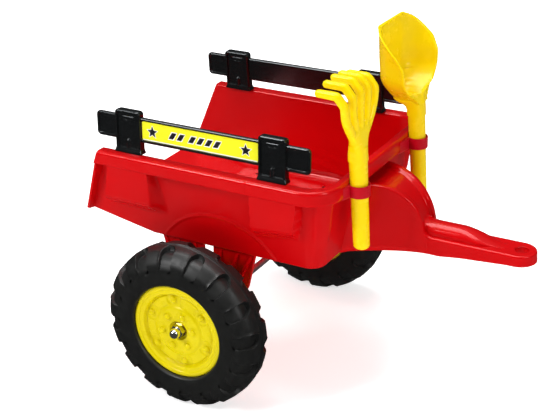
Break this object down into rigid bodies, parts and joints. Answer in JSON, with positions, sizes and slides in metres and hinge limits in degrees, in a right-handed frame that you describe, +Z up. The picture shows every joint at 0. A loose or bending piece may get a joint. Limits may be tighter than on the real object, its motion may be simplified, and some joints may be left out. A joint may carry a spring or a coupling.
{
  "type": "toy tractor trailer",
  "caption": "Toy trailer for a pedal tractor: open moulded tub on two lugged wheels, tow bar with hitch eye, side boards on posts, and a rake and a shovel in rings.",
  "frame": {"origin": "on the floor under the middle of the trailer's length and width", "axes": "+X forward to the hitch eye, +Y to the trailer's left, +Z up"},
  "size_m": [0.622, 0.4642, 0.5],
  "materials": {
    "red_plastic": "glossy moulded plastic",
    "ring_plastic": "glossy crimson plastic",
    "black_plastic": "glossy black plastic",
    "tyre_plastic": "semi-matt blow-moulded plastic",
    "hub_yellow": "glossy yellow plastic",
    "tool_yellow": "glossy warm yellow plastic",
    "label": "printed vinyl sticker",
    "bush_nylon": "natural nylon",
    "zinc_steel": "zinc-plated steel",
    "chrome": "bright chrome"
  },
  "bodies": {
    "chassis": {"tub": "red_plastic", "drawbar": "red_plastic", "drawbar_screws": "zinc_steel", "axle_bracket_left": "red_plastic", "axle_bracket_right": "red_plastic", "bracket_screws": "zinc_steel", "axle": "zinc_steel", "inner_washer_left": "zinc_steel", "inner_washer_right": "zinc_steel", "outer_washer_left": "zinc_steel", "outer_washer_right": "zinc_steel", "cap_nut_left": "chrome", "cap_nut_right": "chrome", "rear_post_left": "black_plastic", "rear_post_right": "black_plastic", "front_post_left": "black_plastic", "front_post_right": "black_plastic", "side_board_left": "black_plastic", "side_board_right": "black_plastic", "side_label_left": "label", "side_label_right": "label", "tool_ring_left": "ring_plastic", "tool_ring_right": "ring_plastic"},
    "wheel_left": {"tyre_left": "tyre_plastic", "wheel_disc_left": "hub_yellow", "wheel_back_left": "hub_yellow", "wheel_bush_left": "bush_nylon"},
    "wheel_right": {"tyre_right": "tyre_plastic", "wheel_disc_right": "hub_yellow", "wheel_back_right": "hub_yellow", "wheel_bush_right": "bush_nylon"},
    "rake": {"rake": "tool_yellow"},
    "shovel": {"shovel": "tool_yellow"}
  },
  "joints": [
    {"name": "left_wheel_spin", "type": "hinge", "parent": "chassis", "child": "wheel_left", "pos_m": [-0.117, 0.1935, 0.12], "axis": [0, 1, 0], "continuous": true},
    {"name": "right_wheel_spin", "type": "hinge", "parent": "chassis", "child": "wheel_right", "pos_m": [-0.117, -0.1935, 0.12], "axis": [0, 1, 0], "continuous": true},
    {"name": "rake_lift", "type": "slide", "parent": "chassis", "child": "rake", "axis": [-0.0454, 0, 0.999], "range_m": [0, 0.12]},
    {"name": "shovel_lift", "type": "slide", "parent": "chassis", "child": "shovel", "axis": [-0.0593, 0, 0.9982], "range_m": [0, 0.12]}
  ]
}
